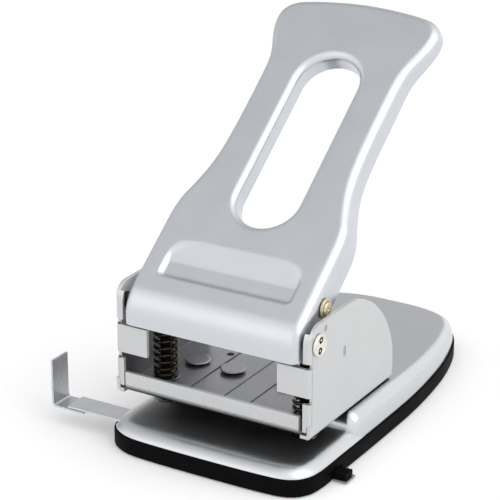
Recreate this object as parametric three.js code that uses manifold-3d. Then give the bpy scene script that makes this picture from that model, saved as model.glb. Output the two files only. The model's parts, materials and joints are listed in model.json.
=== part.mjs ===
// Heavy-duty two-hole desk paper punch: pressed steel lever on a riveted U frame,
// two sprung punch pins, pressed base shell, hinged chip tray and sliding paper guide.
// Millimetres. X to the right, Y to the back, Z up; Z = 0 is the table, Y = 0 the
// front face of the frame, X = 0 midway between the two pins.
import * as THREE from "three";
import { mergeVertices } from "three/addons/utils/BufferGeometryUtils.js";
import Module from "manifold-3d";

const wasm = await Module();
wasm.setup();

// ---------- driving dimensions ----------
const GAP = 0.3;               // running or assembly gap between neighbouring pieces

const HOLE_SPACING = 80;       // centre distance of the two punched holes
const HOLE_INSET = 12;         // hole centre to the paper stop wall
const PIN_Y = 22;
const STOP_Y = PIN_Y + HOLE_INSET;
const PIN_R = 3;               // 6 mm holes

const FRAME_W = 110;           // outside width over the two cheeks
const FRAME_T = 2;             // frame sheet
const FRAME_Z = 23;            // underside of the frame web
const FRAME_D = 84;            // depth of the frame
const FRAME_TOP = 80;
const LIP_W = 4.5;             // returned front edge of each cheek
const TAB_IN = 36.6;           // inner edge of the two front tabs
const TAB_Z = [44.4, 59.2];
const STRIP_X = [-50, 48.6];   // upturned front strip of the web
const STRIP_TOP = 34.2;

const PIVOT = [6.9, 69.9];     // lever pivot (Y, Z)
const PIVOT_R = 4;
const ROD = [22.7, 81.4];      // pusher rod (Y, Z)
const ROD_R = 3.5;

const LEVER_T = 1.8;           // lever sheet
const LEVER_HW = 49;           // half width at the front
const FACE_Z0 = 77;            // lever face height at Y = 0
const FACE_SLOPE = 0.77;       // rise per mm of Y
const APRON_Y = -3;
const APRON_Z = 61.5;
const ROLL_R = 18;
const LEVER_END = 193;         // along the face from Y = 0
const SLOT = [51.3, 156.3];    // finger slot along the face
const SLOT_HW = 16.8;
const SLOT_DEPTH = 10;         // turned-in rim of the slot

const TRAY_TOP = 9;
const DECK_Z = 13.8;           // paper bed
const PLATFORM_Z = 22.5;       // raised rear of the shell
const SHELL_T = 1.6;
const BACK_FALL = 0.045;       // fall of the shell top behind the frame
const BACK_FALL_Y = 88;

const GUIDE_Y = [-8.5, 4.5];
const GUIDE_Z = [10.6, 11.8];
const GUIDE_STOP_X = -88;

// ---------- colours ----------
const silver = { color: 0xb4b7ba, roughness: 0.42, metalness: 0.75 };
const light = { color: 0xd6d8d9, roughness: 0.5, metalness: 0.35 };
const zinc = { color: 0xb8a06a, roughness: 0.38, metalness: 0.9 };
const steel = { color: 0x9ea1a4, roughness: 0.3, metalness: 0.95 };
const black = { color: 0x1d1d1f, roughness: 0.6, metalness: 0.0 };
const springSteel = { color: 0x3a342a, roughness: 0.35, metalness: 0.9 };
const strip = { color: 0x9aa0a6, roughness: 0.35, metalness: 0.85 };

// ---------- helpers ----------
const group = new THREE.Group();
const V = (x, y) => new THREE.Vector2(x, y);
const theta = Math.atan(FACE_SLOPE);
const [ct, st] = [Math.cos(theta), Math.sin(theta)];
const basis = (a, b, c, o = [0, 0, 0]) =>
  new THREE.Matrix4().makeBasis(new THREE.Vector3(...a), new THREE.Vector3(...b), new THREE.Vector3(...c))
    .setPosition(new THREE.Vector3(...o));
const ALONG_X = basis([0, 1, 0], [0, 0, 1], [1, 0, 0]);      // shape (Y, Z), extruded along X
const ALONG_Y = basis([0, 0, 1], [1, 0, 0], [0, 1, 0]);      // shape (Z, X), extruded along Y
const ALONG_Z = new THREE.Matrix4();                         // shape (X, Y), extruded along Z
const FACE = basis([1, 0, 0], [0, ct, st], [0, -st, ct], [0, 0, FACE_Z0]); // shape (X, s), normal to the lever face

function toManifold(geometry) {
  let g = geometry.clone();
  g.deleteAttribute("normal");
  if (g.attributes.uv) g.deleteAttribute("uv");
  g = mergeVertices(g, 1e-4);
  const tri = [];
  for (let i = 0; i < g.index.count; i += 3) {
    const [a, b, c] = [g.index.array[i], g.index.array[i + 1], g.index.array[i + 2]];
    if (a !== b && b !== c && a !== c) tri.push(a, b, c);
  }
  return new wasm.Manifold(new wasm.Mesh({
    numProp: 3,
    vertProperties: new Float32Array(g.attributes.position.array),
    triVerts: new Uint32Array(tri),
  }));
}
function toGeometry(m) {
  const mesh = m.getMesh();
  const g = new THREE.BufferGeometry();
  const n = mesh.vertProperties.length / mesh.numProp;
  const pos = new Float32Array(n * 3);
  for (let i = 0; i < n; i++)
    for (let k = 0; k < 3; k++) pos[3 * i + k] = mesh.vertProperties[i * mesh.numProp + k];
  g.setAttribute("position", new THREE.BufferAttribute(pos, 3));
  g.setIndex(new THREE.BufferAttribute(new Uint32Array(mesh.triVerts), 1));
  g.computeVertexNormals();
  return g;
}
function prismG(pts, from, to, m = ALONG_Z, bevel = null) {
  const shape = new THREE.Shape(pts.map(([x, y]) => V(x, y)));
  const options = bevel
    ? { depth: to - from - 2 * bevel.h, bevelEnabled: true, bevelSize: bevel.w, bevelOffset: -bevel.w, bevelThickness: bevel.h, bevelSegments: bevel.n, steps: 1 }
    : { depth: to - from, bevelEnabled: false, steps: 1 };
  const g = new THREE.ExtrudeGeometry(shape, options);
  g.translate(0, 0, bevel ? from + bevel.h : from);
  g.applyMatrix4(m);
  return g;
}
const prism = (...a) => toManifold(prismG(...a));
function cylG(r, from, to, c, m = ALONG_Z, seg = 24) {
  // c is the centre in the section's own plane
  const g = new THREE.CylinderGeometry(r, r, to - from, seg);
  g.rotateX(Math.PI / 2);
  g.translate(c[0], c[1], (from + to) / 2);
  g.applyMatrix4(m);
  return g;
}
const cyl = (...a) => toManifold(cylG(...a));
function boxG(x0, x1, y0, y1, z0, z1) {
  const g = new THREE.BoxGeometry(x1 - x0, y1 - y0, z1 - z0);
  g.translate((x0 + x1) / 2, (y0 + y1) / 2, (z0 + z1) / 2);
  return g;
}
const box = (...a) => toManifold(boxG(...a));
const union = (list) => list.reduce((a, b) => a.add(b));
const arc = (cy, cz, r, a0, a1, n) => Array.from({ length: n + 1 }, (_, i) => {
  const a = ((a0 + (a1 - a0) * i / n) * Math.PI) / 180;
  return [cy + r * Math.cos(a), cz + r * Math.sin(a)];
});
function add(name, shape, look, parent = group) {
  const geometry = shape instanceof THREE.BufferGeometry ? shape : toGeometry(shape);
  const mesh = new THREE.Mesh(geometry, new THREE.MeshStandardMaterial(look));
  mesh.name = name;
  parent.add(mesh);
  return mesh;
}
// inward offset of a counter-clockwise outline
function inset(pts, d) {
  const n = pts.length, out = [];
  for (let i = 0; i < n; i++) {
    const [ax, ay] = pts[(i + n - 1) % n], [bx, by] = pts[i], [cx, cy] = pts[(i + 1) % n];
    let [ux, uy] = [bx - ax, by - ay], [vx, vy] = [cx - bx, cy - by];
    const lu = Math.hypot(ux, uy), lv = Math.hypot(vx, vy);
    [ux, uy, vx, vy] = [ux / lu, uy / lu, vx / lv, vy / lv];
    let [nx, ny] = [-(uy + vy), ux + vx];
    const k = d / Math.max(0.5, 1 + ux * vx + uy * vy);
    out.push([bx + nx * k, by + ny * k]);
  }
  return out;
}
function smooth(pts, n) {
  const c = new THREE.CatmullRomCurve3(pts.map(([x, y]) => new THREE.Vector3(x, y, 0)), true, "centripetal");
  return c.getSpacedPoints(n).slice(0, n).map((p) => [p.x, p.y]);
}

// ---------- base outline ----------
const MID_X = 4.7;
const rightEdge = [[5, -20.2], [40, -19.4], [50, -18.2], [56.5, -15], [60.5, -9.5], [62.2, -2], [62.5, 20], [62.7, 60],
  [62.2, 95], [60.5, 118], [57.5, 140], [53.3, 158], [48.2, 172], [40.8, 182.3], [25.5, 188.6], [MID_X, 190]];
const leftEdge = [[25.5, 188.6], [40.8, 182.3], [48.2, 172], [53.3, 158], [57.5, 140], [60.5, 118], [62.2, 95], [62.7, 60], [62.5, 20]]
  .map(([x, y]) => [2 * MID_X - x, y]).concat([[-53, 0], [-51.9, -6.5], [-48, -13], [-42, -17], [-36, -19], [-28, -19.8]]);
const outline = smooth(rightEdge.concat(leftEdge), 60);

// ---------- chip tray ----------
const chipTray = prism(outline, 0, TRAY_TOP)
  .subtract(prism(inset(outline, 3), 1.6, TRAY_TOP + 1).subtract(box(48.4, 66, 6, 20, 0, 6.9)))
  .subtract(box(50, 66, 7.2, 21.8, -1, 5.3));
add("chip_tray", chipTray, black);
const latchTongue = box(53, 69.3, 9, 16.6, 1.9, 4.9).subtract(box(65.5, 67.5, 8, 18, 4.2, 6));
add("tray_latch", latchTongue, black);
add("latch_plate", boxG(51, 70.2, 8.7, 17.6, 0.5, 1.6), steel);

// ---------- base shell ----------
const SHELL_IN = 1;
const SHELL_Z = TRAY_TOP + GAP;
function shellBody(d, drop) {
  const edge = inset(outline, SHELL_IN + d);
  const deck = prism(edge, SHELL_Z - 6, DECK_Z - drop, ALONG_Z, { w: 6.5 - d, h: 4.3, n: 3 });
  const rear = edge.filter(([, y]) => y > STOP_Y + d + 9);
  const xr = Math.max(...edge.map(([x]) => x)), xl = Math.min(...edge.map(([x]) => x));
  const y0 = STOP_Y + d;
  const platform = prism([...arc(xl + 7, y0 + 7, 7, 181, 270, 3), ...arc(xr - 7, y0 + 7, 7, 270, 359, 3), ...rear],
    SHELL_Z - 12, PLATFORM_Z - drop, ALONG_Z, { w: 6.5 - d * 0.6, h: 9.5, n: 4 })
    .intersect(prism([[0, 0], [BACK_FALL_Y, 0], [260, 0], [260, PLATFORM_Z - drop - BACK_FALL * (260 - BACK_FALL_Y)],
      [BACK_FALL_Y, PLATFORM_Z - drop], [0, PLATFORM_Z - drop + 0.5]], -100, 120, ALONG_X));
  return deck.add(platform);
}
const dieHole = (x) => cyl(6.3, 0, 40, [x, PIN_Y], ALONG_Z, 24);
const RIVETS = [-36, -15, 18, 37];
const RIVET_Y = 45;
let shell = shellBody(0, 0).intersect(box(-100, 100, -60, 260, SHELL_Z, 60))
  .subtract(shellBody(SHELL_T, SHELL_T).intersect(box(-100, 100, -60, 260, 0, 60)))
  .subtract(box(-70, -38, GUIDE_Y[0] - 0.8, GUIDE_Y[1] + 0.8, SHELL_Z - 1, DECK_Z - SHELL_T));
for (const x of [-HOLE_SPACING / 2, HOLE_SPACING / 2]) shell = shell.subtract(dieHole(x));
for (const x of RIVETS) shell = shell.subtract(cyl(3.3, 15, 30, [x, RIVET_Y], ALONG_Z, 16));
add("base_shell", shell, silver);

// ---------- dies under the paper bed ----------
for (const [side, x] of [["left", -HOLE_SPACING / 2], ["right", HOLE_SPACING / 2]]) {
  const die = cyl(6, DECK_Z - SHELL_T - 0.3, DECK_Z, [x, PIN_Y], ALONG_Z, 24)
    .add(cyl(6.8, DECK_Z - SHELL_T - 3.3, DECK_Z - SHELL_T - GAP, [x, PIN_Y], ALONG_Z, 24))
    .subtract(cyl(PIN_R + GAP, 0, 40, [x, PIN_Y], ALONG_Z, 20));
  add(`die_${side}`, die, steel);
}

// ---------- punch frame ----------
const H = FRAME_W / 2;
const cheek = [[0, FRAME_Z + 3], [FRAME_D, FRAME_Z + 3], [84.2, 34], [82.8, 43.6], [77.9, 54.2], [72.8, 61.5], [65.8, 68.4], [59, 73.3],
  [51.5, 76.9], [45, 79.2], [38, FRAME_TOP], ...arc(9, FRAME_TOP - 9, 9, 90, 180, 4)];
const uBottom = [[30, -H], [24.6, -H], [23.5, -H + 0.5], [23, -H + 1.6], [23, H - 1.6], [23.5, H - 0.5], [24.6, H], [30, H],
  [30, H - 2], [25, H - 2], [25, -H + 2], [30, -H + 2]];
const webStrip = [[10, FRAME_Z], [10, FRAME_Z + 2], [3.5, FRAME_Z + 2], [2, FRAME_Z + 3.5], [2, STRIP_TOP], [0, STRIP_TOP],
  [0, FRAME_Z + 4], [1.2, FRAME_Z + 1.2], [4, FRAME_Z]];
let frame = union([
  prism(cheek, -H, -H + FRAME_T, ALONG_X),
  prism(cheek, H - FRAME_T, H, ALONG_X),
  prism(uBottom, 0, FRAME_D, ALONG_Y),
]).subtract(box(STRIP_X[0] - 0.7, STRIP_X[1] + 0.7, -1, 4, 20, 29))
  .add(prism(webStrip, STRIP_X[0], STRIP_X[1], ALONG_X));
for (const s of [-1, 1]) {
  const slab = (inner, z0, z1) => (s > 0 ? box(inner, H, 0, FRAME_T, z0, z1) : box(-H, -inner, 0, FRAME_T, z0, z1));
  frame = frame.add(slab(H - LIP_W, FRAME_Z + 4, 41.2)).add(slab(TAB_IN, ...TAB_Z)).add(slab(H - LIP_W, 61.8, FRAME_TOP).intersect(prism(cheek, -H, H, ALONG_X)));
}
frame = frame.subtract(cyl(PIVOT_R + GAP, -60, 60, PIVOT, ALONG_X, 24));
for (const x of [-HOLE_SPACING / 2, HOLE_SPACING / 2]) frame = frame.subtract(cyl(5, 20, 30, [x, PIN_Y], ALONG_Z, 24));
for (const x of RIVETS) frame = frame.subtract(cyl(3.3, 20, 30, [x, RIVET_Y], ALONG_Z, 16));
for (const x of [-26.5, 26.5]) frame = frame.subtract(cyl(2, 20, 30, [x, 61.5], ALONG_Z, 12));
add("punch_frame", frame, light);

RIVETS.forEach((x, i) => {
  const under = PLATFORM_Z - SHELL_T;
  const head = new THREE.LatheGeometry([V(0, 25.3), V(6.6, 25.3), V(6.6, 26.2), V(5.6, 27.1), V(0, 27.3)], 24);
  head.rotateX(Math.PI / 2);
  head.translate(x, RIVET_Y, 0);
  const rivet = toManifold(head).add(cyl(3, under - 2, 25.4, [x, RIVET_Y], ALONG_Z, 16))
    .add(cyl(4, under - 2, under - GAP, [x, RIVET_Y], ALONG_Z, 16));
  add(`frame_rivet_${i + 1}`, rivet, steel);
});

// ---------- pivot ----------
const pivotShaft = union([
  cyl(PIVOT_R, -H - 0.2, H + 0.4, PIVOT, ALONG_X, 24),
  cyl(5.6, H + GAP, H + 1.5, PIVOT, ALONG_X, 24),
]);
add("pivot_shaft", pivotShaft, zinc);
const sleeve = cyl(5.8, -LEVER_HW + LEVER_T + GAP, LEVER_HW - LEVER_T - GAP, PIVOT, ALONG_X, 20)
  .subtract(cyl(PIVOT_R + GAP, -60, 60, PIVOT, ALONG_X, 20));
add("pivot_sleeve", sleeve, steel);

// ---------- lever ----------
// half width against distance along the face
const halfWidth = [[-40, 49], [30, 49], [44, 49], [52, 48.8], [60, 47.6], [66, 45.6], [72, 43.6], [80, 41.4], [90, 39.8],
  [104, 39.0], [120, 38.8], [135, 38.9], [146, 39.2], [152, 39.9], [158, 41.6], [164, 43.9], [170, 45.8], [176, 46.7],
  [181, 46.2], [185.4, 43.5], [188.4, 38.9], [190.2, 31.8], [191.8, 20], [LEVER_END - 0.3, 9], [LEVER_END, 0]];
const leverPlan = halfWidth.map(([s, w]) => [w, s]).concat(halfWidth.slice(0, -1).reverse().map(([s, w]) => [-w, s]));
const onFace = (s, d) => [s * ct + d * st, FACE_Z0 + s * st - d * ct];
const rollC = [APRON_Y + ROLL_R, 0];
rollC[1] = FACE_Z0 + FACE_SLOPE * rollC[0] - ROLL_R / ct;
const deg = (theta * 180) / Math.PI;
function leverSide(t, low) {
  return [
    [APRON_Y + t, APRON_Z - low], ...(low ? [] : [[0, 60.2], [5, 59.2], [10, 60.2], [18, 65]]),
    ...(low ? [[60, APRON_Z - low - 30], onFace(240, 80)] : [onFace(24, 17), onFace(52, 16.5), onFace(66, 14.5), onFace(84, 12.5), onFace(140, 12), onFace(168, 9.5), onFace(LEVER_END + 4, 8)]),
    onFace(LEVER_END + (low ? 60 : 4), t), onFace(rollC[0] * ct + (rollC[1] - FACE_Z0) * st, t),
    ...arc(rollC[0], rollC[1], ROLL_R - t, 90 + deg, 180, 6).slice(1),
  ];
}
const blank = prism(leverPlan, -60, 10, FACE).intersect(prism(leverSide(0, 0), -60, 60, ALONG_X));
const hollowPlan = inset(leverPlan, LEVER_T);
const hollow = prism(hollowPlan, -90, 10, FACE).intersect(prism(leverSide(LEVER_T, 10), -60, 60, ALONG_X));
const slotPlan = (d) => [...arc(0, SLOT[1] - SLOT_HW, SLOT_HW + d, 0, 180, 12), ...arc(0, SLOT[0] + SLOT_HW, SLOT_HW + d, 180, 360, 12)];
const rim = prism(slotPlan(LEVER_T), -SLOT_DEPTH, 0, FACE);
const FACE_SECTION = basis([0, ct, st], [0, -st, ct], [1, 0, 0], [0, 0, FACE_Z0]);   // shape (s, height), along X
const recess = prism([[12.6, 1], [12.7, 0], [14.6, -1.8], [22.6, -1.8], [35.8, 0], [35.8, 1]], -37.2, 37.2, FACE_SECTION);
const recessBack = prism([[11.4, -1.5], [12.6, -3.6], [22.8, -3.6], [36.4, -1.5]], -39, 39, FACE_SECTION);
let lever = blank.subtract(hollow.subtract(rim)).add(recessBack).subtract(recess)
  .subtract(prism(slotPlan(0), -60, 20, FACE))
  .subtract(cyl(PIVOT_R + GAP, -60, 60, PIVOT, ALONG_X, 24))
  .subtract(cyl(ROD_R + GAP, -60, 60, ROD, ALONG_X, 24));
add("lever", lever, silver);

add("pusher_rod", cylG(ROD_R, -49.2, 51.4, ROD, ALONG_X, 24), zinc);
for (const [side, x0, x1] of [["inner", LEVER_HW - LEVER_T - GAP - 0.7, LEVER_HW - LEVER_T - GAP], ["outer", LEVER_HW + GAP, LEVER_HW + 1.6]])
  add(`rod_clip_${side}`, cyl(5, x0, x1, ROD, ALONG_X, 24).subtract(cyl(ROD_R + GAP, x0 - 1, x1 + 1, ROD, ALONG_X, 24)), zinc);

// ---------- punch pins, springs and their seats ----------
const PIN_TIP = FRAME_Z + 0.4;
const PIN_TOP = ROD[1] - ROD_R - GAP;
const SPRING = { r: 5.6, wire: 0.9, z0: FRAME_Z + 3.6, z1: PIN_TOP - 5.2, turns: 12.5 };
class Helix extends THREE.Curve {
  constructor(x, y) { super(); this.x = x; this.y = y; }
  getPoint(t, target = new THREE.Vector3()) {
    const a = 2 * Math.PI * SPRING.turns * t;
    const lo = SPRING.z0 + SPRING.wire, hi = SPRING.z1 - SPRING.wire;
    return target.set(this.x + SPRING.r * Math.cos(a), this.y + SPRING.r * Math.sin(a), lo + (hi - lo) * t);
  }
}
for (const [side, x] of [["left", -HOLE_SPACING / 2], ["right", HOLE_SPACING / 2]]) {
  const c = [x, PIN_Y];
  const vee = prism([[x - 6, PIN_TIP - 1], [x + 6, PIN_TIP - 1], [x + 6, PIN_TIP - 0.4], [x, PIN_TIP + 2], [x - 6, PIN_TIP - 0.4]].map(([a, b]) => [b, a]),
    PIN_Y - 8, PIN_Y + 8, ALONG_Y);
  const pin = cyl(PIN_R, PIN_TIP, PIN_TOP - 3, c, ALONG_Z, 20)
    .add(cyl(5.9, PIN_TOP - 3.2, PIN_TOP, c, ALONG_Z, 24)).subtract(vee);
  add(`punch_pin_${side}`, pin, steel);
  add(`spring_seat_${side}`, cyl(6.4, PIN_TOP - 4.9, PIN_TOP - 3.5, c, ALONG_Z, 24)
    .subtract(cyl(PIN_R + GAP, 0, 100, c, ALONG_Z, 20)), steel);
  add(`pin_guide_${side}`, cyl(4.7, FRAME_Z, FRAME_Z + 2.5, c, ALONG_Z, 24)
    .add(cyl(6.8, FRAME_Z + 2.3, FRAME_Z + 3.3, c, ALONG_Z, 24)).subtract(cyl(PIN_R + GAP, 0, 100, c, ALONG_Z, 20)), steel);
  const section = new THREE.Shape(Array.from({ length: 6 }, (_, i) => V(SPRING.wire * Math.cos(i * Math.PI / 3), SPRING.wire * Math.sin(i * Math.PI / 3))));
  add(`spring_${side}`, new THREE.ExtrudeGeometry(section, { steps: Math.round(SPRING.turns * 9), bevelEnabled: false, extrudePath: new Helix(x, PIN_Y) }), springSteel);
}

// ---------- paper guide ----------
const guideStrip = box(-79.5, 22, GUIDE_Y[0], GUIDE_Y[1], ...GUIDE_Z);
add("guide_strip", guideStrip, strip);
const g0 = GUIDE_Z[0] - GAP;
add("guide_stop", prism([[g0, -70], [g0 - 1, -70], [g0 - 1, GUIDE_STOP_X], [g0 + 0.2, GUIDE_STOP_X - 1.2], [34.5, GUIDE_STOP_X - 1.2], [34.5, GUIDE_STOP_X], [g0 + 0.8, GUIDE_STOP_X], [g0, GUIDE_STOP_X + 0.8]],
  GUIDE_Y[0], GUIDE_Y[1], ALONG_Y), strip);
add("guide_channel", box(-36, -8, GUIDE_Y[0] - 1.4, GUIDE_Y[1] + 1.4, TRAY_TOP + GAP, DECK_Z - SHELL_T - GAP)
  .subtract(box(-37, -7, GUIDE_Y[0] - GAP, GUIDE_Y[1] + GAP, GUIDE_Z[0] - GAP, DECK_Z)), steel);

export default group;
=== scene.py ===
import json
import math
import bpy
import bmesh
import numpy as np
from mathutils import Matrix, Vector
from mathutils.geometry import delaunay_2d_cdt

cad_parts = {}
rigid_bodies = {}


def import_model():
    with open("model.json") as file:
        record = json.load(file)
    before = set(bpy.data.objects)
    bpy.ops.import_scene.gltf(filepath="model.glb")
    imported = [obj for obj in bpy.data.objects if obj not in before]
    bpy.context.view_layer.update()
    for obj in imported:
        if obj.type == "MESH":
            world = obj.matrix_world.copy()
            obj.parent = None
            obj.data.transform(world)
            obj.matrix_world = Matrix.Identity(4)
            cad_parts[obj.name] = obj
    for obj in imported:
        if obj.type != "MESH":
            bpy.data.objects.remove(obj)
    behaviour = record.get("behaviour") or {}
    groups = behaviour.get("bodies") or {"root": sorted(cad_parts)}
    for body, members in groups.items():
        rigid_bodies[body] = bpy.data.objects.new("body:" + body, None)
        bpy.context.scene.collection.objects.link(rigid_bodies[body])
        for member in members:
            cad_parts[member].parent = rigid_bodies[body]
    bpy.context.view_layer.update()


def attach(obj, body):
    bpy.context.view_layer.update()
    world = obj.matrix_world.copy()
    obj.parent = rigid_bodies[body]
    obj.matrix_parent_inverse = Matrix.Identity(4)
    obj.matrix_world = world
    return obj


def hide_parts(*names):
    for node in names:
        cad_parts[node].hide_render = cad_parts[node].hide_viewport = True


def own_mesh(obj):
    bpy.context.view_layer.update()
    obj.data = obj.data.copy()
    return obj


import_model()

MM = 0.001
scene = bpy.context.scene
scene.view_settings.view_transform = "Standard"

# ---------------------------------------------------------------- dimensions, mm
SLOPE = 0.77
TH = math.atan(SLOPE)
CT, ST = math.cos(TH), math.sin(TH)
FACE_Z0 = 77.0
PIVOT, ROD = (6.9, 69.9), (22.7, 81.4)
PIN_Y = 22.0
RIVETS = (-36, -15, 18, 37)
SPRING_LO, SPRING_HI = 26.6, 72.4
HALF_WIDTH = [(-10, 49), (30, 49), (44, 49), (52, 48.8), (60, 47.6), (66, 45.6), (72, 43.6), (80, 41.4), (90, 39.8),
              (104, 39.0), (120, 38.8), (135, 38.9), (146, 39.2), (152, 39.9), (158, 41.6), (164, 43.9), (170, 45.8),
              (176, 46.7), (181, 46.2), (185.4, 43.5), (188.4, 38.9), (190.2, 31.8), (191.8, 20), (192.7, 9), (193, 0)]
MID_X = 4.7
RIGHT = [(5, -20.2), (40, -19.4), (50, -18.2), (56.5, -15), (60.5, -9.5), (62.2, -2), (62.5, 20), (62.7, 60), (62.2, 95),
         (60.5, 118), (57.5, 140), (53.3, 158), (48.2, 172), (40.8, 182.3), (25.5, 188.6), (4.7, 190)]
LEFT = [(2 * MID_X - x, y) for x, y in [(25.5, 188.6), (40.8, 182.3), (48.2, 172), (53.3, 158), (57.5, 140), (60.5, 118),
        (62.2, 95), (62.7, 60), (62.5, 20)]] + [(-53, 0), (-51.9, -6.5), (-48, -13), (-42, -17), (-36, -19), (-28, -19.8)]


# ---------------------------------------------------------------- curve helpers
def catmull(pts, closed, per=16, alpha=0.5):
    """Centripetal Catmull-Rom through the points."""
    p = [np.array(q, float) for q in pts]
    n = len(p)
    out = []
    for i in range(n if closed else n - 1):
        if closed:
            a, b, c, d = p[(i - 1) % n], p[i], p[(i + 1) % n], p[(i + 2) % n]
        else:
            b, c = p[i], p[i + 1]
            a = p[i - 1] if i > 0 else 2 * b - c
            d = p[i + 2] if i + 2 < n else 2 * c - b
        t0 = 0.0
        t1 = t0 + np.linalg.norm(b - a) ** alpha
        t2 = t1 + np.linalg.norm(c - b) ** alpha
        t3 = t2 + np.linalg.norm(d - c) ** alpha
        for k in range(per):
            t = t1 + (t2 - t1) * k / per
            a1 = (t1 - t) / (t1 - t0) * a + (t - t0) / (t1 - t0) * b
            a2 = (t2 - t) / (t2 - t1) * b + (t - t1) / (t2 - t1) * c
            a3 = (t3 - t) / (t3 - t2) * c + (t - t2) / (t3 - t2) * d
            b1 = (t2 - t) / (t2 - t0) * a1 + (t - t0) / (t2 - t0) * a2
            b2 = (t3 - t) / (t3 - t1) * a2 + (t - t1) / (t3 - t1) * a3
            out.append((t2 - t) / (t2 - t1) * b1 + (t - t1) / (t2 - t1) * b2)
    if not closed:
        out.append(p[-1])
    return np.array(out)


def resample(pts, n, closed):
    p = np.array(pts, float)
    q = np.vstack([p, p[:1]]) if closed else p
    d = np.concatenate([[0], np.cumsum(np.linalg.norm(np.diff(q, axis=0), axis=1))])
    t = np.linspace(0, d[-1], n, endpoint=not closed)
    return np.column_stack([np.interp(t, d, q[:, k]) for k in range(q.shape[1])])


def inward(loop):
    """Inward unit normals of a counter-clockwise closed loop."""
    e = np.roll(loop, -1, 0) - np.roll(loop, 1, 0)
    e /= np.linalg.norm(e, axis=1)[:, None]
    return np.column_stack([-e[:, 1], e[:, 0]])


def arc(cx, cy, r, a0, a1, n):
    return [(cx + r * math.cos(math.radians(a0 + (a1 - a0) * i / n)), cy + r * math.sin(math.radians(a0 + (a1 - a0) * i / n)))
            for i in range(n + 1)]


def inside(poly, pts):
    x, y = pts[:, 0], pts[:, 1]
    res = np.zeros(len(pts), bool)
    q = np.roll(poly, -1, 0)
    for (x0, y0), (x1, y1) in zip(poly, q):
        c = (y0 > y) != (y1 > y)
        if y0 != y1:
            res ^= c & (x < (x1 - x0) * (y - y0) / (y1 - y0) + x0)
    return res


def fill(outer, holes=(), extra=()):
    """Triangles inside a closed loop, outside its holes. Returns 2-D points and triangles."""
    loops = [np.array(outer, float)] + [np.array(h, float) for h in holes]
    pts, edges = [], []
    for lp in loops:
        k = len(pts)
        pts += [tuple(p) for p in lp]
        edges += [(k + i, k + (i + 1) % len(lp)) for i in range(len(lp))]
    pts += [tuple(p) for p in extra]
    v, _, f, *_ = delaunay_2d_cdt([Vector(p) for p in pts], edges, [], 0, 1e-6)
    v = np.array([tuple(p) for p in v])
    tri = np.array([t for t in f if len(t) == 3])
    c = v[tri].mean(1)
    ok = inside(loops[0], c)
    for h in loops[1:]:
        ok &= ~inside(h, c)
    return v, tri[ok]


# ---------------------------------------------------------------- mesh helpers
def build(name, verts, faces, weld=0.004, closed=True):
    me = bpy.data.meshes.new(name)
    me.from_pydata([tuple(float(c) * MM for c in v) for v in verts], [], [tuple(int(i) for i in f) for f in faces])
    o = bpy.data.objects.new(name, me)
    scene.collection.objects.link(o)
    bm = bmesh.new()
    bm.from_mesh(me)
    bmesh.ops.remove_doubles(bm, verts=bm.verts, dist=weld * MM)
    bmesh.ops.dissolve_degenerate(bm, edges=bm.edges, dist=0.0005 * MM)
    bmesh.ops.recalc_face_normals(bm, faces=bm.faces)
    bm.to_mesh(me)
    bm.free()
    return o


def bake(o):
    """The object's modifiers become its mesh."""
    dg = bpy.context.evaluated_depsgraph_get()
    me = bpy.data.meshes.new_from_object(o.evaluated_get(dg), depsgraph=dg)
    o.modifiers.clear()
    o.data = me
    return o


def cut(a, *others, op="DIFFERENCE"):
    for b in others:
        m = a.modifiers.new("cut", "BOOLEAN")
        m.operation, m.object, m.solver = op, b, "EXACT"
        bake(a)
        bpy.data.objects.remove(b)
    return a


def clean(o, angle=0.6, dist=0.01):
    bm = bmesh.new()
    bm.from_mesh(o.data)
    bmesh.ops.remove_doubles(bm, verts=bm.verts, dist=dist * MM)
    bmesh.ops.dissolve_limit(bm, angle_limit=math.radians(angle), verts=bm.verts, edges=bm.edges)
    bm.to_mesh(o.data)
    bm.free()
    return o


def bevel(o, width, segments=2, angle=35, clamp=False):
    m = o.modifiers.new("bevel", "BEVEL")
    m.width, m.segments, m.limit_method = width * MM, segments, "ANGLE"
    m.angle_limit, m.use_clamp_overlap, m.miter_outer = math.radians(angle), clamp, "MITER_ARC"
    return bake(o)


def shade(o, angle=38):
    me = o.data
    me.polygons.foreach_set("use_smooth", [True] * len(me.polygons))
    me.set_sharp_from_angle(angle=math.radians(angle))
    m = o.modifiers.new("normals", "WEIGHTED_NORMAL")
    m.mode, m.weight, m.keep_sharp = "FACE_AREA", 50, True
    return o


AXES = {"X": lambda u, v, w: (w, u, v), "Y": lambda u, v, w: (u, w, v), "Z": lambda u, v, w: (u, v, w)}


def prism(name, pts, a, b, axis, mapping=None):
    """An outline pulled from a to b. Outlines are (Y, Z) for X, (X, Z) for Y and (X, Y) for Z."""
    f = mapping or AXES[axis]
    n = len(pts)
    verts = [f(u, v, a) for u, v in pts] + [f(u, v, b) for u, v in pts]
    faces = [tuple(range(n)), tuple(range(n, 2 * n))] + [(i, (i + 1) % n, n + (i + 1) % n, n + i) for i in range(n)]
    return build(name, verts, faces)


def block(x0, x1, y0, y1, z0, z1, name="block"):
    return prism(name, [(x0, y0), (x1, y0), (x1, y1), (x0, y1)], z0, z1, "Z")


def rod(r, a, b, c, axis, n=48, name="rod"):
    return prism(name, [(c[0] + r * math.cos(2 * math.pi * (i + 0.5) / n), c[1] + r * math.sin(2 * math.pi * (i + 0.5) / n)) for i in range(n)], a, b, axis)


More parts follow.
